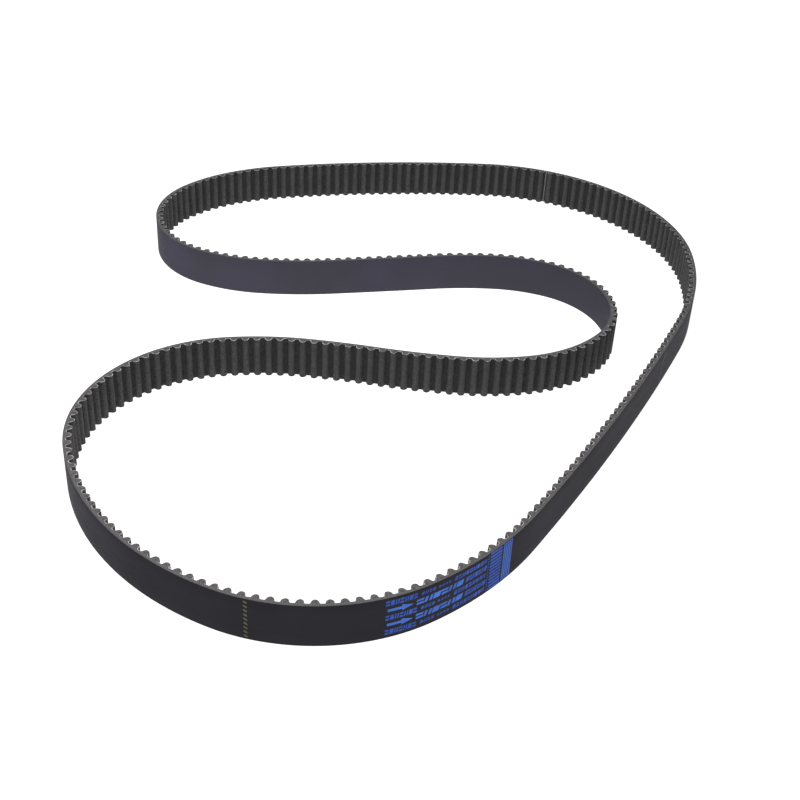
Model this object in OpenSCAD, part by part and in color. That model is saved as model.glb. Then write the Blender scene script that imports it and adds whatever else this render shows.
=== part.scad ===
// Endless timing belt, standing on its cut edge in a loose loop with the teeth on the inside.
// The origin is the middle of the loop's outline on the floor, +Z is up across the belt's width.

/* [Belt] */
// Number of teeth round the belt
teeth = 281; // [200:1:360]
// Tooth pitch, measured along the cords
pitch = 8; // [7:0.5:12]
// Width of the belt, which is its height as it stands
width = 29; // [15:0.5:60]
// Rubber outside the cords
backing_t = 1; // [0.6:0.1:3]

/* [Teeth] */
// Height of a tooth above the land between two teeth
tooth_h = 3.2; // [1.5:0.1:4.5]
// Width of a tooth where it meets the land
tooth_w = 5; // [3:0.1:5.4]
// Length of the sloped root on each side of a tooth
root = 0.8; // [0.2:0.1:0.8]
// Roundness of a tooth, 1 for an ellipse and less for a fuller form
tooth_round = 0.95; // [0.6:0.05:1]

/* [Cords and facing] */
// Thickness of a tensile cord
cord_d = 1; // [0.6:0.1:1.4]
// Rubber between two neighbouring turns of cord
cord_gap = 0.4; // [0.2:0.05:0.6]
// Thickness of the fabric that faces the teeth
facing_t = 0.2; // [0.1:0.05:0.4]

/* [Printed marks] */
// Thickness of a coat of ink
ink_t = 0.05; // [0.03:0.01:0.1]
// Tooth at which the size print starts, counted from the start of the loop
print_at = 138.1; // [100:0.1:150]
// Height of one row of the size print
row_h = 3; // [1:0.1:4]
// Tooth at which the dashed timing mark lies
dashed_at = 128.8; // [100:0.1:180]
// Number of dashes in the dashed mark
dashes = 9; // [4:1:12]
// Tooth at which the solid timing mark lies
solid_at = 179.6; // [152:0.1:190]
// Width of the solid mark and of the seam line
line_w = 0.8; // [0.4:0.1:2]
// Tooth gap in which the fabric's seam line lies
seam_at = 223; // [0:1:260]

/* [Hidden] */
$fn = 360;

// Offsets from the pitch line, which is the middle of the cords: out is plus, the tooth side is minus.
back = cord_d / 2 + backing_t;
bond = -cord_d / 2;
land = bond - facing_t;

// The loop goes anticlockwise as a chain of round bends. Each is [length in teeth, turn in degrees].
// The bends in `closing` take whatever turn brings the loop back to its start.
bends = [[6, 23], [7, 12], [10, 1], [6, -12], [5, -21], [16, -107], [8, -38], [6, -17],
         [7, -7], [6, 5], [7, 16], [22, 0], [20, 49], [16, 60], [11, 23], [33, 7],
         [13, 24], [31, 0], [23, 14], [6, 18], [5, 19], [17, 0]];
closing = [11, 17, 21];
first_heading = -23.4;

function sum(v, n) = n <= 0 ? 0 : v[n - 1] + sum(v, n - 1);
bend_teeth = [for (b = bends) b[0]];
bend_count = len(bends);
shape_teeth = sum(bend_teeth, bend_count);
given_turn = sum([for (b = bends) b[1]], bend_count);

// First tooth of each bend, so that every tooth lies within one bend at any tooth count
first = [for (i = [0:bend_count]) round(sum(bend_teeth, i) * teeth / shape_teeth)];
function bend_len(i) = (first[i + 1] - first[i]) * pitch;

// Corners between the bends as [x, y, heading], walked from the origin with a given list of turns
function chord(length, turn) = length * 360 / (PI * turn) * sin(turn / 2);
function walk(turns) = [
    for (i = 0, x = 0, y = 0, h = first_heading;
         i <= bend_count;
         c = i < bend_count ? chord(bend_len(i), turns[i]) : 0,
         m = i < bend_count ? h + turns[i] / 2 : 0,
         x = x + c * cos(m),
         y = y + c * sin(m),
         h = i < bend_count ? h + turns[i] : h,
         i = i + 1) [x, y, h]];

// Turns that close the loop: Newton's method on the first two closing bends,
// while the third makes the whole turn up to 360 degrees
function all_turns(a, b) = [for (i = [0:bend_count - 1])
    i == closing[0] ? a : i == closing[1] ? b :
    i == closing[2] ? 360 - given_turn - a - b : bends[i][1]];
function miss(a, b) = walk(all_turns(a, b))[bend_count];
function close_up(a, b, steps) = steps == 0 ? all_turns(a, b) :
    let(e = 0.01,
        m = miss(a, b),
        da = (miss(a + e, b) - m) / e,
        db = (miss(a, b + e) - m) / e,
        det = da.x * db.y - da.y * db.x)
    close_up(a - (m.x * db.y - m.y * db.x) / det, b - (da.x * m.y - da.y * m.x) / det, steps - 1);
closing_guess = (360 - given_turn) / 3;
turns = close_up(closing_guess, closing_guess, 8);
corners = walk(turns);

// Radius of a bend, minus where the belt bends backwards, and the centre that it turns about
function radius(i) = bend_len(i) * 180 / (PI * turns[i]);
function loose_centre(i) = [corners[i].x - radius(i) * sin(corners[i].z),
                            corners[i].y + radius(i) * cos(corners[i].z)];

// Point of the loop at length u into a bend and offset d from the pitch line
function loose_point(i, u, d) =
    let(h = corners[i].z + turns[i] * u / bend_len(i))
    loose_centre(i) + (radius(i) + d) * [sin(h), -cos(h)];
outline_step = pitch / 8;
outline = [for (i = [0:bend_count - 1], u = [0:outline_step:bend_len(i)]) loose_point(i, u, back)];
xs = [for (p = outline) p.x];
ys = [for (p = outline) p.y];
middle = [(min(xs) + max(xs)) / 2, (min(ys) + max(ys)) / 2];
function centre(i) = loose_centre(i) - middle;

// Bend of each tooth, and the point at length u into that tooth's pitch
tooth_bend = [for (i = [0:bend_count - 1], k = [first[i]:1:first[i + 1] - 1]) i];
function at_tooth(k, u, d) =
    let(i = tooth_bend[k])
    loose_point(i, (k - first[i]) * pitch + u, d) - middle;

// Flank and tip of a tooth as [length from its middle, height], round by an ellipse's rule
function swell(v) = sign(v) * pow(abs(v), tooth_round);
function tooth_arc(w, h, from, to, step) =
    [for (a = [from:step:to]) [-w / 2 * swell(cos(a)), h * swell(sin(a))]];
arc_step = 45;
core_arc = tooth_arc(tooth_w - 2 * facing_t, tooth_h, 0, 180, arc_step);
face_arc = concat([[-tooth_w / 2 - root, 0]],
                  tooth_arc(tooth_w, tooth_h, arc_step, 180 - arc_step, arc_step),
                  [[tooth_w / 2 + root, 0]]);
function along_tooth(k, arc, base) = [for (p = arc) at_tooth(k, pitch / 2 + p[0], base - p[1])];

// Plan of one bend between offsets d0 and d1: a ring cut to the fan that the bend spans
fan_reach = 6;
fan_step = 12;
module bend_plan(i, d0, d1) {
    radii = [abs(radius(i) + d0), abs(radius(i) + d1)];
    steps = ceil(abs(turns[i]) / fan_step);
    near = [for (j = [0:steps]) loose_point(i, bend_len(i) * j / steps, -fan_reach) - middle];
    far = [for (j = [steps:-1:0]) loose_point(i, bend_len(i) * j / steps, fan_reach) - middle];
    intersection() {
        translate(centre(i)) difference() {
            circle(r = max(radii));
            circle(r = min(radii));
        }
        polygon(concat(near, far));
    }
}

// Short straight over the join of a bend with the one before it, a hair thicker than the band,
// so that the ends of both arcs lie inside it
join_half = 0.6;
join_over = 0.02;
module join_plan(i, d0, d1) {
    h = corners[i].z;
    out = [sin(h), -cos(h)];
    along = [cos(h), sin(h)] * join_half;
    at = [corners[i].x, corners[i].y] - middle;
    polygon([at + (d0 - join_over) * out - along, at + (d0 - join_over) * out + along,
             at + (d1 + join_over) * out + along, at + (d1 + join_over) * out - along]);
}

// Endless ring between offsets d0 and d1, from height z up to z + h
module ring(d0, d1, z, h) {
    translate([0, 0, z]) linear_extrude(h)
        for (i = [0:bend_count - 1]) {
            bend_plan(i, d0, d1);
            join_plan(i, d0, d1);
        }
}

// Endless band between two closed outlines, from height z up to z + h
module outline_band(outer, inner, z, h) {
    translate([0, 0, z]) linear_extrude(h)
        polygon(concat(outer, inner),
                [[for (n = [0:len(outer) - 1]) n], [for (n = [0:len(inner) - 1]) len(outer) + n]]);
}

// Thin patch between offsets d0 and d1 along the loop from length a to b, between two heights
module patch(a, b, d0, d1, low, high) {
    for (i = [0:bend_count - 1]) {
        u0 = max(a - first[i] * pitch, 0);
        u1 = min(b - first[i] * pitch, bend_len(i));
        h0 = corners[i].z + turns[i] * u0 / bend_len(i);
        h1 = corners[i].z + turns[i] * u1 / bend_len(i);
        if (u1 - u0 > 0.01)
            translate(centre(i))
                rotate(radius(i) > 0 ? h0 - 90 : h1 + 90)
                    rotate_extrude(angle = abs(h1 - h0))
                        translate([min(abs(radius(i) + d0), abs(radius(i) + d1)), low])
                            square([d1 - d0, high - low]);
    }
}

// Turns of cord, stacked across the width between the back and the teeth
cord_step = cord_d + cord_gap;
cord_pairs = floor((width - cord_gap) / (2 * cord_step));
cord_margin = (width - 2 * cord_pairs * cord_step + cord_gap) / 2;
module cord_rings(start) {
    for (j = [start:2:2 * cord_pairs - 1])
        ring(bond, cord_d / 2, cord_margin + j * cord_step, cord_d);
}

// Rubber back of the belt, a plain endless band
function smooth_line(d) = [for (k = [0:teeth - 1], u = [0, pitch / 2]) at_tooth(k, u, d)];
module backing() {
    color("#34343a") outline_band(smooth_line(back), smooth_line(cord_d / 2), 0, width);
}

// Rubber beside the first and the last turn of cord, which closes both cut edges of the belt
module edge_rubber() {
    color("#3c3c40")
        for (z = [0, width - cord_margin])
            outline_band(smooth_line(cord_d / 2), smooth_line(bond), z, cord_margin);
}

// Glass cord with a left-hand twist, wound side by side with the other
module s_cord() {
    color("#c9b98c") cord_rings(0);
}

// Glass cord with a right-hand twist
module z_cord() {
    color("#b8a97e") cord_rings(1);
}

// Rubber core of each tooth, its flat root on the cords
module tooth_rubber() {
    color("#3c3c40")
        for (k = [0:teeth - 1])
            linear_extrude(width)
                polygon(concat(along_tooth(k, core_arc, bond), [at_tooth(k, pitch / 2, bond)]));
}

// Woven facing that runs over the teeth and along the lands in one endless sheet
module tooth_facing() {
    bonded = [for (k = [0:teeth - 1], p = concat([at_tooth(k, 0, bond)], along_tooth(k, core_arc, bond))) p];
    worn = [for (k = [0:teeth - 1], p = concat([at_tooth(k, 0, land)], along_tooth(k, face_arc, land))) p];
    color("#55565a") outline_band(bonded, worn, 0, width);
}

// A coat of ink on the back, from length a to length b and from height low to height high
module ink(a, b, low, high) {
    patch(a, b, back, back + ink_t, low, high);
}

// Size print: rows of plain bars, two arrows that show the running direction, a ladder and a band
print_s = print_at * pitch;
row_step = width / 5.5;
function row_z(j) = width / 2 + (j - 2) * row_step;
module bar_row(a, bars, bar, gap, z, h) {
    for (n = [0:bars - 1])
        ink(print_s + a + n * (bar + gap), print_s + a + n * (bar + gap) + bar, z - h / 2, z + h / 2);
}
module arrow(a, z) {
    shaft = 9;
    head_steps = 5;
    head_step = 1.2;
    ink(print_s + a, print_s + a + shaft, z - row_h / 4, z + row_h / 4);
    for (n = [0:head_steps - 1])
        ink(print_s + a + shaft + n * head_step, print_s + a + shaft + (n + 1) * head_step,
            z - row_h * (head_steps - n) / head_steps * 0.65, z + row_h * (head_steps - n) / head_steps * 0.65);
}
module size_print() {
    color("#2f5fc8") {
        for (j = [0, 2, 4]) {
            bar_row(1, 6, 2.2, 0.7, row_z(j), row_h * 0.8);
            bar_row(21, 7, 2.6, 0.9, row_z(j), row_h * 0.4);
            bar_row(49, 6, 2.5, 0.8, row_z(j), row_h * 0.6);
        }
        for (j = [1, 3]) {
            arrow(2.5, row_z(j));
            bar_row(19, 6, 3.8, 1, row_z(j), row_h);
            bar_row(49, 5, 3.2, 0.8, row_z(j), row_h * 0.8);
        }
        ladder_step = width / 10;
        for (n = [0:8])
            ink(print_s + 73, print_s + 80, (n + 0.7) * ladder_step, (n + 1.2) * ladder_step);
        ink(print_s + 82, print_s + 92, 0.6, width - 0.6);
    }
}

// Dashed timing mark across the back
module dashed_mark() {
    dash_w = 2.4;
    dash_step = width / (dashes + 0.5);
    color("#8a8a5c")
        for (n = [0:dashes - 1])
            ink(dashed_at * pitch - dash_w / 2, dashed_at * pitch + dash_w / 2,
                (n + 0.5) * dash_step, n * dash_step + dash_step);
}

// Solid timing mark across the back
module solid_mark() {
    color("#77777c")
        ink(solid_at * pitch - line_w / 2, solid_at * pitch + line_w / 2, 0.5, width - 0.5);
}

// Line along the seam of the facing, in the gap between two teeth
module seam_line() {
    color("#8a8a8c")
        patch(seam_at * pitch - line_w / 2, seam_at * pitch + line_w / 2, land - ink_t, land, 0.5, width - 0.5);
}

backing();
edge_rubber();
s_cord();
z_cord();
tooth_rubber();
tooth_facing();
size_print();
dashed_mark();
solid_mark();
seam_line();
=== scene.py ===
import math

import bpy
import numpy as np
from mathutils import Matrix, Vector


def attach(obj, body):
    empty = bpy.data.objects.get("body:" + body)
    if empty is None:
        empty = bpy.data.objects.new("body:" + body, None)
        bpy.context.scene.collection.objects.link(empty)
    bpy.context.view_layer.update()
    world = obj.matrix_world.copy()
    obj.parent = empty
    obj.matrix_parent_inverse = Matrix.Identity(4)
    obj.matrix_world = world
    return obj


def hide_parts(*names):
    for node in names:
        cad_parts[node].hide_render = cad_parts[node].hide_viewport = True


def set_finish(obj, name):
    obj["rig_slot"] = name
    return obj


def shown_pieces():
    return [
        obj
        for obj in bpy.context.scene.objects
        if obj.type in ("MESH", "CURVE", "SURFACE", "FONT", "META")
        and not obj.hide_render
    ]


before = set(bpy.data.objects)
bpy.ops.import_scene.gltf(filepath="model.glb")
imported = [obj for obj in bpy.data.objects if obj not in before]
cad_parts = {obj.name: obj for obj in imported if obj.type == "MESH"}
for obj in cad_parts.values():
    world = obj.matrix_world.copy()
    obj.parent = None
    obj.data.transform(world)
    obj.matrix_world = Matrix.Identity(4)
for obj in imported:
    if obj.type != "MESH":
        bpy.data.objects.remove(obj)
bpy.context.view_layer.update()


# ---------------------------------------------------------------------------------------------
# The rubber back.
# A band of black synthetic rubber outside the cords, moulded smooth and cut to width with the rest of
# the sleeve, so that its two edges are square. All the other pieces follow the same line.
# ---------------------------------------------------------------------------------------------
MM = 0.001
tooth_pitch = 8.0
belt_width = 29.0
back_offset = 1.5
cord_half = 0.5
# The belt as it stands. Each bend is given by its number of teeth and by the degrees that it turns, and three
# of them take up what is left over where the ends meet.
bends = np.array([[6, 23], [7, 12], [10, 1], [6, -12], [5, -21], [16, -107], [8, -38], [6, -17],
                  [7, -7], [6, 5], [7, 16], [22, 0], [20, 49], [16, 60], [11, 23], [33, 7],
                  [13, 24], [31, 0], [23, 14], [6, 18], [5, 19], [17, 0]], float)
closing_bends = [11, 17, 21]
start_heading = math.radians(-23.4)
tooth_count = int(bends[:, 0].sum())
bend_mm = bends[:, 0] * tooth_pitch
bend_from = np.concatenate(([0.0], np.cumsum(bend_mm)))
belt_mm = bend_from[-1]


def corners_between_bends(turns):
    """x, y and heading at each end of the bends. A bend adds its turn to the heading and moves on by its
    chord, twice the radius times the sine of half the turn, in the direction midway between headings."""
    heading = start_heading + np.concatenate(([0.0], np.cumsum(turns)))
    chord = 2 * bend_mm / turns * np.sin(turns / 2)
    midway = heading[:-1] + turns / 2
    x = np.concatenate(([0.0], np.cumsum(chord * np.cos(midway))))
    y = np.concatenate(([0.0], np.cumsum(chord * np.sin(midway))))
    return np.stack([x, y, heading], axis=-1)


def turns_that_close(first_turn, second_turn):
    """Turns of all bends: two closing bends take the given turns, the third makes up one whole turn."""
    turns = np.radians(bends[:, 1])
    turns[closing_bends] = first_turn, second_turn, 0.0
    turns[closing_bends[2]] = 2 * math.pi - turns.sum()
    return turns


def gap_left(pair):
    return corners_between_bends(turns_that_close(*pair))[-1, :2]


# Newton's rounds: the slope of the gap against each of the two turns says how far to move both.
closing_pair = np.full(2, (2 * math.pi - np.radians(bends[:, 1]).sum()) / 3)
small_turn = 1e-4
closing_rounds = 8
for _ in range(closing_rounds):
    slope = np.stack([(gap_left(closing_pair + small_turn * unit) - gap_left(closing_pair)) / small_turn
                      for unit in np.eye(2)], axis=1)
    closing_pair = closing_pair - np.linalg.solve(slope, gap_left(closing_pair))
bend_turn = turns_that_close(*closing_pair)
bend_corner = corners_between_bends(bend_turn)
bend_radius = bend_mm / bend_turn
bend_centre = bend_corner[:-1, :2] + bend_radius[:, None] * np.stack(
    [-np.sin(bend_corner[:-1, 2]), np.cos(bend_corner[:-1, 2])], axis=-1)


def belt_point(s, d):
    """x and y at length s along the cords and offset d from them, outwards plus: the bend's centre plus
    (its radius + d) along the direction square to the heading there."""
    s, d = np.broadcast_arrays(np.mod(s, belt_mm), d)
    i = np.clip(np.searchsorted(bend_from, s, side="right") - 1, 0, len(bend_mm) - 1)
    heading = bend_corner[i, 2] + bend_turn[i] * (s - bend_from[i]) / bend_mm[i]
    square = np.stack([np.sin(heading), -np.cos(heading)], axis=-1)
    return bend_centre[i] + (bend_radius[i] + d)[..., None] * square


outline = belt_point(np.arange(0, belt_mm, 1.0), back_offset)
bend_centre = bend_centre - (outline.min(0) + outline.max(0)) / 2


def in_belt(s, d, z):
    """Points in metres at length s, offset d and height z, all in millimetres."""
    s, d, z = np.broadcast_arrays(s, d, z)
    xy = belt_point(s, d)
    return np.concatenate([xy, z[..., None]], axis=-1) * MM


sharp_from = math.radians(38)


def skin(name, points, quads, caps=(), uv=None, **values):
    """A mesh object from points and quads, with caps as further faces, a UV in millimetres for each corner
    of the quads, and any named values at the points."""
    faces = [list(q) for q in quads.tolist()] + [list(c) for c in caps]
    mesh = bpy.data.meshes.new(name)
    mesh.from_pydata(points.reshape(-1, 3).tolist(), [], faces)
    if uv is not None:
        flat = np.zeros((len(mesh.loops), 2), np.float32)
        flat[:uv.size // 2] = uv.reshape(-1, 2)
        mesh.uv_layers.new(name="belt_mm").data.foreach_set("uv", flat.ravel())
    for value_name, numbers in values.items():
        attribute = mesh.attributes.new(value_name, "FLOAT", "POINT")
        attribute.data.foreach_set("value", np.float32(numbers).ravel())
    mesh.shade_smooth()
    mesh.set_sharp_from_angle(angle=sharp_from)
    mesh.validate()
    piece = bpy.data.objects.new(name, mesh)
    bpy.context.scene.collection.objects.link(piece)
    return piece


def ring_of_profiles(name, points, along, across, **values):
    """Skin over a grid of points, closed both ways: rows go round the belt and columns round the section.
    Its UV is the distance along the belt of each row and across it of each column."""
    rows, columns = points.shape[:2]
    index = np.arange(rows * columns).reshape(rows, columns)
    onward = np.roll(index, -1, axis=0)
    quads = np.stack([index, onward, np.roll(onward, -1, axis=1), np.roll(index, -1, axis=1)], axis=-1)
    u = np.broadcast_to(along[:, None], (rows + 1, columns + 1))
    v = np.broadcast_to(across[None, :], (rows + 1, columns + 1))
    uv = np.stack([u, v], axis=-1)
    corners = np.stack([uv[:-1, :-1], uv[1:, :-1], uv[1:, 1:], uv[:-1, 1:]], axis=2)
    return skin(name, points, quads.reshape(-1, 4), uv=corners, **values)


def finish_named(name, colour, roughness, specular):
    """A material with its shader's constant values set, and its nodes and links to add detail to."""
    material = bpy.data.materials.new(name)
    material.use_nodes = True
    nodes = material.node_tree.nodes
    shader = nodes["Principled BSDF"]
    shader.inputs["Base Color"].default_value = (*colour, 1)
    shader.inputs["Roughness"].default_value = roughness
    shader.inputs["Specular IOR Level"].default_value = specular
    return material, nodes, material.node_tree.links, shader


def grain(nodes, links, where, scale, detail=4.0, stretch=(1, 1, 1)):
    """A noise texture over the given coordinates, drawn out by the three stretch factors."""
    mapping = nodes.new("ShaderNodeMapping")
    mapping.inputs["Scale"].default_value = stretch
    links.new(where, mapping.inputs["Vector"])
    noise = nodes.new("ShaderNodeTexNoise")
    noise.inputs["Scale"].default_value = scale
    noise.inputs["Detail"].default_value = detail
    links.new(mapping.outputs["Vector"], noise.inputs["Vector"])
    return noise.outputs["Fac"]


def shades(nodes, links, value, *stops):
    """A ramp that turns a value into a colour between its two stops, each given as (place, colour)."""
    ramp = nodes.new("ShaderNodeValToRGB")
    for element, (place, colour) in zip(ramp.color_ramp.elements, stops):
        element.position = place
        element.color = (*colour, 1)
    links.new(value, ramp.inputs["Fac"])
    return ramp.outputs["Color"]


def mottle(nodes, links, where, scale, detail, *stops):
    """Colour that drifts between two stops with the grain of the given scale and detail."""
    return shades(nodes, links, grain(nodes, links, where, scale, detail), *stops)


def blend_by(nodes, links, factor, first, second):
    """Colour that goes from the first to the second as the factor goes from 0 to 1."""
    mix = nodes.new("ShaderNodeMixRGB")
    links.new(factor, mix.inputs["Fac"])
    links.new(first, mix.inputs["Color1"])
    links.new(second, mix.inputs["Color2"])
    return mix.outputs["Color"]


def arithmetic(nodes, links, operation, value, other=None):
    """One step of arithmetic on a value, with another value or a constant where the operation takes two."""
    step = nodes.new("ShaderNodeMath")
    step.operation = operation
    links.new(value, step.inputs[0])
    if isinstance(other, bpy.types.NodeSocket):
        links.new(other, step.inputs[1])
    elif other is not None:
        step.inputs[1].default_value = other
    return step.outputs[0]


def moved_range(nodes, links, value, low, high, new_low, new_high):
    """A value moved from one range into another, and held inside it."""
    change = nodes.new("ShaderNodeMapRange")
    for socket, number in (("From Min", low), ("From Max", high), ("To Min", new_low), ("To Max", new_high)):
        change.inputs[socket].default_value = number
    links.new(value, change.inputs["Value"])
    return change.outputs["Result"]


def relief(nodes, links, shader, height, strength, depth_mm, below=None):
    """Bump of the given depth on the shader, on top of an earlier one."""
    bump = nodes.new("ShaderNodeBump")
    bump.inputs["Strength"].default_value = strength
    bump.inputs["Distance"].default_value = depth_mm * MM
    links.new(height, bump.inputs["Height"])
    if below is not None:
        links.new(below, bump.inputs["Normal"])
    links.new(bump.outputs["Normal"], shader.inputs["Normal"])
    return bump.outputs["Normal"]


def object_place(nodes):
    return nodes.new("ShaderNodeTexCoord").outputs["Object"]


def belt_place(nodes):
    uv = nodes.new("ShaderNodeUVMap")
    uv.uv_map = "belt_mm"
    return uv.outputs["UV"]


def point_value(nodes, value_name):
    attribute = nodes.new("ShaderNodeAttribute")
    attribute.attribute_name = value_name
    return attribute.outputs["Fac"]


def girth_of(profile):
    """Distance round a closed profile up to each of its points, and at last back to the first."""
    sides = np.roll(profile, -1, axis=0) - profile
    return np.concatenate(([0.0], np.cumsum(np.hypot(*sides.T))))


back_rim = 0.12
rim_round = 0.03
web_inset = 7.0
web_z = (web_inset, belt_width / 2, belt_width - web_inset)
back_profile = np.array([[back_offset, back_rim], *[[back_offset, z] for z in web_z],
                         [back_offset, belt_width - back_rim],
                         [back_offset - rim_round, belt_width - rim_round],
                         [back_offset - back_rim, belt_width], [cord_half, belt_width], [cord_half, 0],
                         [back_offset - back_rim, 0], [back_offset - rim_round, rim_round]])
# The cut value is 1 where the knife has been.
back_cut = np.array([0, 0, 0, 0, 0, 0.5, 1, 1, 1, 1, 0.5])
back_step = 2.0
back_s = np.arange(0, belt_mm, back_step)
rubber_back = ring_of_profiles(
    "rubber_back",
    in_belt(back_s[:, None], back_profile[None, :, 0], back_profile[None, :, 1]),
    np.append(back_s, belt_mm), girth_of(back_profile), cut=np.tile(back_cut, (len(back_s), 1)))

back_finish, nodes, links, shader = finish_named("moulded_black_rubber", (0.018, 0.018, 0.022), 0.6, 0.05)
place = object_place(nodes)
cloud = grain(nodes, links, place, 14, 3)
clean = shades(nodes, links, cloud, (0.3, (0.022, 0.0212, 0.027)), (0.7, (0.03, 0.0288, 0.0365)))
# Painted glancing light: a paler, bluer copy of the rubber's colour.
painted_glancing_light = shades(nodes, links, cloud, (0.34, (0.06, 0.0575, 0.071)), (0.66, (0.068, 0.065, 0.093)))
# Painted glancing light: over half of the belt the back is painted a paler, bluer grey, where light glances
# off it. It fades out towards the printed stretch, by half of one plus the cosine of the length along the
# belt.
back_place = nodes.new("ShaderNodeSeparateXYZ")
links.new(belt_place(nodes), back_place.inputs["Vector"])
painted_light_turn = arithmetic(nodes, links, "MULTIPLY", back_place.outputs["X"], 2 * math.pi / belt_mm)
painted_light_wave = arithmetic(nodes, links, "COSINE", painted_light_turn)
painted_light_share = arithmetic(nodes, links, "MULTIPLY", arithmetic(nodes, links, "ADD", painted_light_wave, 1.0), 0.5)
moulded = blend_by(nodes, links, painted_light_share, clean, painted_glancing_light)
sawn = mottle(nodes, links, place, 2600, 3, (0.3, (0.1, 0.095, 0.1)), (0.72, (0.235, 0.225, 0.235)))
links.new(blend_by(nodes, links, point_value(nodes, "cut"), moulded, sawn), shader.inputs["Base Color"])
scuff = grain(nodes, links, belt_place(nodes), 0.35, 6, (0.25, 1, 1))
links.new(moved_range(nodes, links, scuff, 0, 1, 0.55, 0.75), shader.inputs["Roughness"])
fine = relief(nodes, links, shader, grain(nodes, links, place, 3200, 2), 0.35, 0.02)
relief(nodes, links, shader, grain(nodes, links, place, 60, 2), 0.25, 0.15, fine)
rubber_back.data.materials.append(back_finish)
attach(rubber_back, "root")
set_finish(rubber_back, "back_rubber")
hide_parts("backing")


# ---------------------------------------------------------------------------------------------
# The tooth facing.
# One sheet of woven nylon filled with rubber, joined end to end and moulded over the teeth and down into
# the lands between them. The knife leaves the pale ends of its yarns showing along both edges.
# ---------------------------------------------------------------------------------------------
land_offset = -0.7
tooth_height = 3.2
tooth_breadth = 5.0
tooth_roundness = 0.95
root_reach = 0.6
facing_thickness = 0.35
flank_start = math.radians(18)
fillet_points = 6
dome_points = 13


def dome(angle):
    """Flank and tip of a tooth: half the breadth by the cosine and the height by the sine, each raised to
    the roundness, which fills out an ellipse a little."""
    across = -tooth_breadth / 2 * np.sign(np.cos(angle)) * np.abs(np.cos(angle)) ** tooth_roundness
    height = tooth_height * np.abs(np.sin(angle)) ** tooth_roundness
    return np.stack([across, height], axis=-1)


def root_fillet():
    """Curve from the land up into the flank: a parabola between the land and the foot of the dome, drawn
    towards the corner where the flank would meet the land."""
    t = np.linspace(0, 1, fillet_points)[:, None]
    land = np.array([-tooth_breadth / 2 - root_reach, 0.0])
    corner = np.array([-tooth_breadth / 2, 0.0])
    return (1 - t) ** 2 * land + 2 * t * (1 - t) * corner + t ** 2 * dome(flank_start)


rising = root_fillet()
worn = np.concatenate([[[-tooth_pitch / 2, 0.0]], rising,
                       dome(np.linspace(flank_start, math.pi - flank_start, dome_points))[1:-1],
                       (rising * [-1, 1])[::-1]])
around_one = np.concatenate([worn[-1:] - [tooth_pitch, 0], worn, worn[:1] + [tooth_pitch, 0]])
slope_along = around_one[2:] - around_one[:-2]
inward = np.stack([slope_along[:, 1], -slope_along[:, 0]], axis=-1)
bonded = worn + facing_thickness * inward / np.hypot(*inward.T)[:, None]


def every_pitch(one):
    """The same offsets along the belt in every pitch, one row of lengths after another."""
    starts = (np.arange(tooth_count) + 0.5) * tooth_pitch
    return (starts[:, None] + one[None, :]).ravel()


worn_s = every_pitch(worn[:, 0])
worn_d = np.tile(land_offset - worn[:, 1], tooth_count)
bonded_s = every_pitch(bonded[:, 0])
bonded_d = np.tile(land_offset - bonded[:, 1], tooth_count)
lip = 0.08
facing_depth = np.array([0, 0, 0, 0, 0, 0.25, 1, 1, 0.25])
facing_z = np.array([lip, *web_z, belt_width - lip, belt_width, belt_width, 0, 0])
facing_cut = np.array([0, 0, 0, 0, 0, 1, 1, 1, 1])
facing_s = worn_s[:, None] + (bonded_s - worn_s)[:, None] * facing_depth[None, :]
facing_d = worn_d[:, None] + (bonded_d - worn_d)[:, None] * facing_depth[None, :]
sheet_run = np.hypot(*np.diff(np.stack([worn_s, worn_d], axis=-1), axis=0).T)
# Where the sheet closes on its first row and column, the UV goes on by one more step instead of going back.
last_run, last_z = 1.0, -0.1
sheet_run = np.concatenate(([0.0], np.cumsum(sheet_run), [np.sum(sheet_run) + last_run]))
crown_height = np.tile(worn[:, 1] / tooth_height, tooth_count)
tooth_facing = ring_of_profiles(
    "tooth_facing_cloth", in_belt(facing_s, facing_d, facing_z[None, :]), sheet_run,
    np.append(facing_z, last_z), cut=np.tile(facing_cut, (len(worn_s), 1)),
    crown=np.repeat(crown_height, len(facing_z)))

facing_finish, nodes, links, shader = finish_named("rubber_filled_nylon", (0.03, 0.03, 0.031), 0.72, 0.25)
place = object_place(nodes)
sheet = belt_place(nodes)
yarns = []
# Straight bands of scale 1 make 20 radians of wave to a millimetre, so this scale makes one whole wave to
# it. Diagonal bands of that scale make half a wave to a millimetre of either side.
wave_unit = 2 * math.pi / 20
for direction, per_mm in (("X", 1.9), ("Y", 2.1), ("DIAGONAL", 1.0)):
    wave = nodes.new("ShaderNodeTexWave")
    wave.bands_direction = direction
    wave.inputs["Scale"].default_value = per_mm * wave_unit
    wave.inputs["Distortion"].default_value = 0.6
    wave.inputs["Detail"].default_value = 1
    links.new(sheet, wave.inputs["Vector"])
    yarns.append(wave.outputs["Fac"])
weave = arithmetic(nodes, links, "MULTIPLY", yarns[0], yarns[1])
twill = arithmetic(nodes, links, "ADD", weave, yarns[2])
dull = mottle(nodes, links, place, 1300, 5,
              (0.36, (0.0145, 0.0145, 0.015)), (0.66, (0.086, 0.0845, 0.0875)))
lit = mottle(nodes, links, place, 70, 6, (0.32, (0.047, 0.046, 0.048)), (0.7, (0.093, 0.091, 0.094)))
rubbed = blend_by(nodes, links, weave, dull, lit)
# Painted shade: the darker colour of the cloth down in the lands.
painted_land_shade = mottle(nodes, links, place, 500, 3,
               (0.3, (0.015, 0.015, 0.0155)), (0.7, (0.036, 0.0355, 0.037)))
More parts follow.
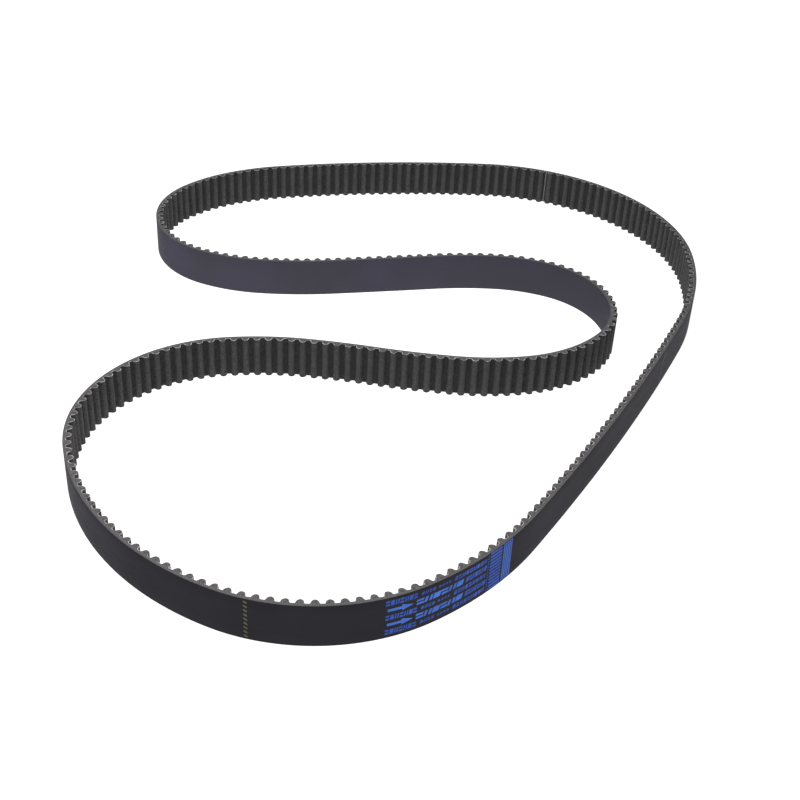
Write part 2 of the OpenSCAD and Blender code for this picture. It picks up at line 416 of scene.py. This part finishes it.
# Painted shade in the lands between the teeth, where the grooves hold less light. From about an eighth of the
# tooth's height up, the cloth takes the lighter colour of the crowns, which wear rubs paler.
above_land_shade = moved_range(nodes, links, point_value(nodes, "crown"), 0, 0.12, 0, 1)
cloth = blend_by(nodes, links, above_land_shade, painted_land_shade, rubbed)
ends = mottle(nodes, links, place, 420, 6, (0.42, (0.2, 0.195, 0.2)), (0.58, (1.0, 0.99, 1.0)))
links.new(blend_by(nodes, links, point_value(nodes, "cut"), cloth, ends), shader.inputs["Base Color"])
threads = relief(nodes, links, shader, twill, 0.5, 0.06)
relief(nodes, links, shader, grain(nodes, links, place, 900, 3), 0.3, 0.05, threads)
tooth_facing.data.materials.append(facing_finish)
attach(tooth_facing, "root")
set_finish(tooth_facing, "facing_fabric")
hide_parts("tooth_facing")


# ---------------------------------------------------------------------------------------------
# The tooth cores.
# Each tooth is filled with a hard fibre-loaded rubber, pressed through the cords when the sleeve is
# moulded. Its cut ends show as grey domes inside the pale line of the facing.
# ---------------------------------------------------------------------------------------------
bond_offset = -cord_half
core_edge = 0.02
core = bonded[1:]
core_d = np.minimum(land_offset - core[:, 1], bond_offset)
core_s = every_pitch(core[:, 0]).reshape(tooth_count, -1)
core_z = np.array([core_edge, belt_width - core_edge])
core_points = in_belt(core_s[:, :, None], core_d[None, :, None], core_z[None, None, :])
count = len(core)
index = np.arange(tooth_count * count * 2).reshape(tooth_count, count, 2)
around = np.roll(index, -1, axis=1)
walls = np.stack([index[..., 0], index[..., 1], around[..., 1], around[..., 0]], axis=-1).reshape(-1, 4)
# The cut ends are rungs of quads from foot to tip, and a triangle closes each at the tip's middle point.
half = count // 2
left, right = index[:, :half], index[:, ::-1][:, :half]
low_ends = np.stack([left[:, :-1, 0], left[:, 1:, 0], right[:, 1:, 0], right[:, :-1, 0]], axis=-1)
high_ends = np.stack([left[:, :-1, 1], right[:, :-1, 1], right[:, 1:, 1], left[:, 1:, 1]], axis=-1)
tips = index[:, half - 1:half + 2]
core_quads = np.concatenate([walls, low_ends.reshape(-1, 4), high_ends.reshape(-1, 4)])
core_caps = tips[..., 0].tolist() + tips[:, ::-1, 1].tolist()
tooth_cores = skin("tooth_cores", core_points, core_quads, core_caps)

core_finish, nodes, links, shader = finish_named("cut_tooth_rubber", (0.1, 0.1, 0.1), 0.8, 0.25)
place = object_place(nodes)
blotch = mottle(nodes, links, place, 900, 4, (0.32, (0.068, 0.0625, 0.064)), (0.68, (0.23, 0.213, 0.216)))
links.new(blotch, shader.inputs["Base Color"])
relief(nodes, links, shader, grain(nodes, links, place, 2500, 4), 0.6, 0.08)
tooth_cores.data.materials.append(core_finish)
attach(tooth_cores, "root")
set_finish(tooth_cores, "core_rubber")
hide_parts("tooth_rubber")


# ---------------------------------------------------------------------------------------------
# The cords and the rubber round them.
# Two glass fibre cords of opposite twist are wound side by side in one long helix, so that the belt pulls
# straight. The rubber between them bonds the back to the teeth, and the knife opens a cord at each edge.
# ---------------------------------------------------------------------------------------------
cord_radius = 0.4
cord_lead = 2.8
cord_step = 5.0
cord_sides = 8
cord_overrun = 0.2


def helix_cord(name, start, replaced, slant):
    """Tube round a helix that climbs by its lead each time round the belt. Where it runs past an edge of
    the belt its section is levelled off there, as the knife does it."""
    climb = belt_width + 2 * cord_overrun
    run = np.arange(0, climb / cord_lead * belt_mm, cord_step)
    turn = np.arange(cord_sides) / cord_sides * 2 * math.pi
    z = -cord_overrun + run[:, None] / belt_mm * cord_lead + cord_radius * np.sin(turn)[None, :]
    points = in_belt(start + run[:, None], cord_radius * np.cos(turn)[None, :], np.clip(z, 0, belt_width))
    rows = len(run)
    index = np.arange(rows * cord_sides).reshape(rows, cord_sides)
    side = np.roll(index, -1, axis=1)
    quads = np.stack([index[:-1], index[1:], side[1:], side[:-1]], axis=-1).reshape(-1, 4)
    u = np.broadcast_to(run[:, None], (rows, cord_sides + 1))
    v = np.broadcast_to(np.arange(cord_sides + 1)[None, :] / cord_sides * slant, (rows, cord_sides + 1))
    uv = np.stack([u, v], axis=-1)
    corners = np.stack([uv[:-1, :-1], uv[1:, :-1], uv[1:, 1:], uv[:-1, 1:]], axis=2)
    caps = [index[0].tolist(), index[-1][::-1].tolist()]
    cord = skin(name, points, quads, caps, uv=corners)
    finish, nodes, links, shader = finish_named(name + "_glass", (0.3, 0.28, 0.23), 0.6, 0.4)
    strand = nodes.new("ShaderNodeTexWave")
    strand.bands_direction = "DIAGONAL"
    strand.inputs["Scale"].default_value = 0.5
    links.new(belt_place(nodes), strand.inputs["Vector"])
    fibre = shades(nodes, links, strand.outputs["Fac"],
                   (0.2, (0.1, 0.095, 0.095)), (0.8, (0.24, 0.23, 0.225)))
    links.new(fibre, shader.inputs["Base Color"])
    relief(nodes, links, shader, strand.outputs["Fac"], 0.6, 0.1)
    cord.data.materials.append(finish)
    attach(cord, "root")
    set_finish(cord, "glass_cord")
    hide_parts(replaced)
    return cord


helix_cord("left_twist_cord", 0.0, "s_cord", 1.0)
helix_cord("right_twist_cord", belt_mm / 2, "z_cord", -1.0)

bed_edge = 0.03
bed_profile = np.array([[cord_half, bed_edge], [cord_half, belt_width - bed_edge],
                        [bond_offset, belt_width - bed_edge], [bond_offset, bed_edge]])
cord_rubber = ring_of_profiles(
    "rubber_round_cords", in_belt(back_s[:, None], bed_profile[None, :, 0], bed_profile[None, :, 1]),
    np.append(back_s, belt_mm), girth_of(bed_profile))
cord_rubber.data.materials.append(core_finish)
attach(cord_rubber, "root")
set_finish(cord_rubber, "core_rubber")
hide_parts("edge_rubber")


# ---------------------------------------------------------------------------------------------
# The size print.
# A transfer of blue ink on the back: rows of plain blocks, two arrows for the running direction, a ladder
# of slanted bars and a lined band. The ink lies on the moulded rubber and is worn thin in places.
# ---------------------------------------------------------------------------------------------
ink_coat = 0.03
ink_stations = 5
print_start = 1104.8
row_top, row_step = 25.0, 5.2
row_heights = row_top - row_step * np.arange(5)


def ink_plates(name, s_low, z_low, s_high, z_high):
    """Thin closed plates on the back. Each row of the four arrays is one plate, and gives the length and
    height of its lower and of its upper border at each station along it."""
    top, bottom = back_offset + ink_coat, back_offset - ink_coat
    s = np.stack([s_low, s_high, s_high, s_low], axis=-1)
    z = np.stack([z_low, z_high, z_high, z_low], axis=-1)
    d = np.array([top, top, bottom, bottom])
    points = in_belt(s, d[None, None, :], z)
    plates, stations = s.shape[:2]
    index = np.arange(plates * stations * 4).reshape(plates, stations, 4)
    side = np.roll(index, -1, axis=2)
    skirts = np.stack([index[:, :-1], index[:, 1:], side[:, 1:], side[:, :-1]], axis=-1).reshape(-1, 4)
    short_ends = np.concatenate([index[:, 0], index[:, -1, ::-1]])
    return skin(name, points, np.concatenate([skirts, short_ends]))


def blocks(spans, slant=0.0):
    """Slanted blocks from rows of (start, end, lower height, upper height): straight borders, leaning
    forwards by the slant for each millimetre of height."""
    spans = np.array(spans, float)
    t = np.linspace(0, 1, ink_stations)
    s = spans[:, :1] + (spans[:, 1:2] - spans[:, :1]) * t
    low = np.repeat(spans[:, 2:3], ink_stations, axis=1)
    high = np.repeat(spans[:, 3:4], ink_stations, axis=1)
    lean = slant * (high - low) / 2
    return np.stack([s - lean, low, s + lean, high])


def block_row(start, end, centre, height, share, pattern, slant):
    """A row of equal cells. A cell holds one block, two blocks one above the other, or two narrow ones
    side by side, in the order of the pattern, and ink fills the given share of its length."""
    cell = (end - start) / len(pattern)
    slit_half, leg = height * 0.12, cell * share * 0.36
    spans = []
    for n, kind in enumerate(pattern):
        a = print_start + start + n * cell
        b = a + cell * share
        low, high = centre - height / 2, centre + height / 2
        if kind == "full":
            spans.append((a, b, low, high))
        elif kind == "stack":
            spans += [(a, b, low, centre - slit_half), (a, b, centre + slit_half, high)]
        else:
            spans += [(a, a + leg, low, high), (b - leg, b, low, high)]
    return blocks(spans, slant)


def arrow(start, centre):
    """A shaft and a swept head, whose upper and lower borders draw together to a point."""
    shaft_length, shaft_half = 9.2, 0.95
    head_from, head_length, head_half, point_half = 8.4, 6.8, 2.1, 0.05
    t = np.linspace(0, 1, ink_stations)[None, :]
    foot = print_start + start
    shaft = blocks([(foot, foot + shaft_length, centre - shaft_half, centre + shaft_half)])
    s = foot + head_from + head_length * t
    head = np.stack([s, centre - head_half * (1 - t) - point_half,
                     s, centre + head_half * (1 - t) + point_half])
    return np.concatenate([shaft, head], axis=1)


# The layout of the print, in millimetres from its start.
code = ["stack", "full", "pair", "stack", "pair", "full", "stack"]
word = ["stack", "pair", "full", "stack", "pair", "full"]
small = ["full", "stack", "pair", "full", "stack", "pair", "full", "full", "pair"]
bright_ink, middle_ink, deep_ink = [], [], []
for row in (0, 2, 4):
    z = row_heights[row]
    deep_ink += [block_row(1.0, 20.0, z, 3.5, 0.8, code, 0.1),
                 block_row(22.0, 31.5, z, 2.2, 0.72, ["full", "pair", "stack", "full"], 0.2),
                 block_row(33.0, 42.0, z, 1.5, 0.6, ["full", "full", "full", "full"], 0.2),
                 block_row(44.0, 68.6, z, 2.8, 0.76, small, 0.2)]
for row in (1, 3):
    z = row_heights[row]
    bright_ink += [arrow(2.0, z), block_row(19.0, 51.0, z, 3.7, 0.88, word, 0.3)]
    deep_ink.append(block_row(52.5, 68.8, z, 3.3, 0.8, small[:7], 0.25))
rung_from, rung_to, rung_half, rung_drop = print_start + 71.2, print_start + 81.2, 0.75, 0.2
rungs = blocks([(rung_from, rung_to, z - rung_half, z + rung_half) for z in np.linspace(1.4, 27.6, 12)])
rungs[[1, 3]] += np.linspace(rung_drop, -rung_drop, ink_stations)[None, None, :]
deep_ink.append(rungs)
dot_from, dot_to, dot_half = print_start + 69.3, print_start + 70.1, 0.5
deep_ink.append(blocks([(dot_from, dot_to, z - dot_half, z + dot_half) for z in np.linspace(2.0, 27.0, 14)]))
strip_gap, strip_margin = 0.45, 0.5
strip_edges = print_start + np.linspace(82.6, 91.0, 6)
middle_ink.append(blocks([(a, b - strip_gap, strip_margin, belt_width - strip_margin)
                          for a, b in zip(strip_edges[:-1], strip_edges[1:])]))


def ink_finish(name, dark, light, worn_colour):
    """Flat printing ink: its colour drifts with the coat's thickness, and pin holes show the rubber."""
    material, nodes, links, shader = finish_named(name, light, 0.6, 0.06)
    place = object_place(nodes)
    coat = mottle(nodes, links, place, 90, 5, (0.32, dark), (0.68, light))
    pits = grain(nodes, links, place, 1400, 3)
    bare = shades(nodes, links, pits, (0.0, worn_colour), (1.0, worn_colour))
    holes = moved_range(nodes, links, pits, 0.6, 0.72, 0, 0.6)
    links.new(blend_by(nodes, links, holes, coat, bare), shader.inputs["Base Color"])
    relief(nodes, links, shader, grain(nodes, links, place, 2600, 2), 0.3, 0.02)
    return material


bright_blue = ink_finish("bright_blue_ink", (0.068, 0.165, 0.58), (0.095, 0.25, 0.88), (0.045, 0.06, 0.16))
middle_blue = ink_finish("middle_blue_ink", (0.055, 0.125, 0.44), (0.08, 0.18, 0.62), (0.04, 0.05, 0.13))
deep_blue = ink_finish("deep_blue_ink", (0.04, 0.09, 0.4), (0.06, 0.145, 0.6), (0.035, 0.045, 0.1))
for name, groups, finish in (("bright_size_print", bright_ink, bright_blue),
                             ("middle_size_print", middle_ink, middle_blue),
                             ("deep_size_print", deep_ink, deep_blue)):
    piece = ink_plates(name, *np.concatenate(groups, axis=1))
    piece.data.materials.append(finish)
    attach(piece, "root")
    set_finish(piece, "blue_ink")
    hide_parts("size_print")


# ---------------------------------------------------------------------------------------------
# The timing marks.
# A row of small slanted lens-shaped dashes in olive paint and a plain thin grey line, both laid across the
# back for lining up the belt with the marks on the pulleys.
# ---------------------------------------------------------------------------------------------
dash_count = 9
dash_centre = 1031.0
dash_half = 1.25
dash_drop = 0.55
dash_thick = 0.72
dash_blunt = 0.004
dash_stations = 9
dash_pitch = belt_width / (dash_count + 0.5)
dash_first = 0.72 * dash_pitch
dash_z = dash_first + np.arange(dash_count) * dash_pitch
t = np.linspace(-1, 1, dash_stations)[None, :]
dash_s = dash_centre + dash_half * t + np.zeros((dash_count, 1))
dash_lift = dash_z[:, None] - dash_drop * t
lens = dash_thick * np.sqrt(np.clip(1 - t ** 2, dash_blunt, 1)) + np.zeros((dash_count, 1))
dashes = ink_plates("olive_dashes", dash_s, dash_lift - lens, dash_s, dash_lift + lens)
olive_paint = ink_finish("olive_paint", (0.11, 0.11, 0.055), (0.17, 0.17, 0.09), (0.04, 0.04, 0.03))
dashes.data.materials.append(olive_paint)
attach(dashes, "root")
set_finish(dashes, "khaki_ink")
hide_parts("dashed_mark")

line_from, line_to, line_margin, line_slant = 1436.2, 1436.9, 0.4, 0.16
grey_line = ink_plates("solid_grey_mark", *blocks(
    [(line_from, line_to, line_margin, belt_width - line_margin)], line_slant))
grey_paint = ink_finish("grey_paint", (0.12, 0.12, 0.125), (0.19, 0.19, 0.2), (0.05, 0.05, 0.052))
grey_line.data.materials.append(grey_paint)
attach(grey_line, "root")
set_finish(grey_line, "grey_ink")
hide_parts("solid_mark")


# ---------------------------------------------------------------------------------------------
# The seam of the facing.
# Where the two ends of the woven sheet meet, in a gap between two teeth, a pale line of yarn ends and
# adhesive runs across the belt.
# ---------------------------------------------------------------------------------------------
seam_tooth = 223
seam_s = seam_tooth * tooth_pitch
seam_half = 0.4
seam_proud = 0.04
seam_sunk = 0.1
seam_margin = 0.5
seam_z = np.array([seam_margin, belt_width - seam_margin])
seam_corner_s = np.array([seam_s - seam_half, seam_s + seam_half])
seam_d = np.array([land_offset - seam_proud, land_offset + seam_sunk])
seam_points = in_belt(seam_corner_s[:, None, None], seam_d[None, :, None], seam_z[None, None, :])
seam_quads = np.array([[0, 1, 5, 4], [2, 6, 7, 3], [0, 2, 3, 1], [4, 5, 7, 6], [0, 4, 6, 2], [1, 3, 7, 5]])
seam = skin("facing_seam", seam_points, seam_quads)
adhesive = ink_finish("seam_adhesive", (0.15, 0.15, 0.155), (0.28, 0.275, 0.28), (0.06, 0.06, 0.06))
seam.data.materials.append(adhesive)
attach(seam, "root")
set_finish(seam, "grey_ink")
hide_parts("seam_line")


# Outward faces: each closed piece is turned so that its own volume comes out positive.
def face_outwards(piece):
    """Turns the faces round if the sum of the tetrahedra from the origin to each face is negative."""
    mesh = piece.data
    mesh.calc_loop_triangles()
    corner = np.zeros(len(mesh.loop_triangles) * 3, np.int32)
    mesh.loop_triangles.foreach_get("vertices", corner)
    place = np.zeros(len(mesh.vertices) * 3, np.float32)
    mesh.vertices.foreach_get("co", place)
    a, b, c = place.reshape(-1, 3)[corner.reshape(-1, 3)].astype(float).transpose(1, 0, 2)
    if np.einsum("ij,ij->i", a, np.cross(b, c)).sum() < 0:
        mesh.flip_normals()


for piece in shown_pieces():
    if "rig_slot" in piece:
        face_outwards(piece)


# ---------------------------------------------------------------------------------------------
# The floor, the light and the camera.
# A plain pale sheet under a large soft overhead light, with an even pale surround.
# ---------------------------------------------------------------------------------------------
floor_half = 6.0
floor_mesh = bpy.data.meshes.new("floor")
floor_mesh.from_pydata([(-floor_half, -floor_half, 0), (floor_half, -floor_half, 0),
                        (floor_half, floor_half, 0), (-floor_half, floor_half, 0)], [], [(0, 1, 2, 3)])
floor = bpy.data.objects.new("floor", floor_mesh)
bpy.context.scene.collection.objects.link(floor)
floor_finish, nodes, links, shader = finish_named("white_light_table", (0.6, 0.6, 0.6), 0.9, 0.1)
shader.inputs["Emission Color"].default_value = (1, 1, 1, 1)
shader.inputs["Emission Strength"].default_value = 0.92
floor_mesh.materials.append(floor_finish)

world = bpy.data.worlds.new("pale_surround")
world.use_nodes = True
world.node_tree.nodes["Background"].inputs["Color"].default_value = (1, 1, 1, 1)
world.node_tree.nodes["Background"].inputs["Strength"].default_value = 0.16
bpy.context.scene.world = world


def soft_light(name, place, aim, size, power):
    """A square area light that faces the point it is aimed at."""
    lamp = bpy.data.lights.new(name, "AREA")
    lamp.size = size
    lamp.energy = power
    piece = bpy.data.objects.new(name, lamp)
    piece.location = place
    piece.rotation_mode = "QUATERNION"
    piece.rotation_quaternion = (Vector(aim) - Vector(place)).to_track_quat("-Z", "Y")
    bpy.context.scene.collection.objects.link(piece)


soft_light("overhead", place=(-0.12, -0.22, 0.75), aim=(-0.05, 0, 0), size=0.6, power=4.6)

# The camera stands before the belt's near end and looks down on it. Its yaw, dip and roll give its axes.
camera_place = (-0.00549, -0.78725, 0.49818)
sensor_mm = 36
focal_mm = 58.06
yaw, dip, roll = np.radians([0.277, 34.084, 3.090])
ahead = np.array([-math.sin(yaw), math.cos(yaw), 0])
level = np.array([math.cos(yaw), math.sin(yaw), 0])
upright = np.array([0, 0, 1])
look = math.cos(dip) * ahead - math.sin(dip) * upright
above = math.sin(dip) * ahead + math.cos(dip) * upright
camera_x = math.cos(roll) * level + math.sin(roll) * above
camera_y = -math.sin(roll) * level + math.cos(roll) * above
lens_data = bpy.data.cameras.new("camera")
lens_data.sensor_width = sensor_mm
lens_data.lens = focal_mm
lens_data.clip_start = 0.01
camera = bpy.data.objects.new("camera", lens_data)
camera.matrix_world = Matrix(np.stack([camera_x, camera_y, -look], axis=1).tolist()).to_4x4()
camera.location = camera_place
bpy.context.scene.collection.objects.link(camera)
bpy.context.scene.camera = camera
bpy.context.scene.view_settings.view_transform = "Standard"
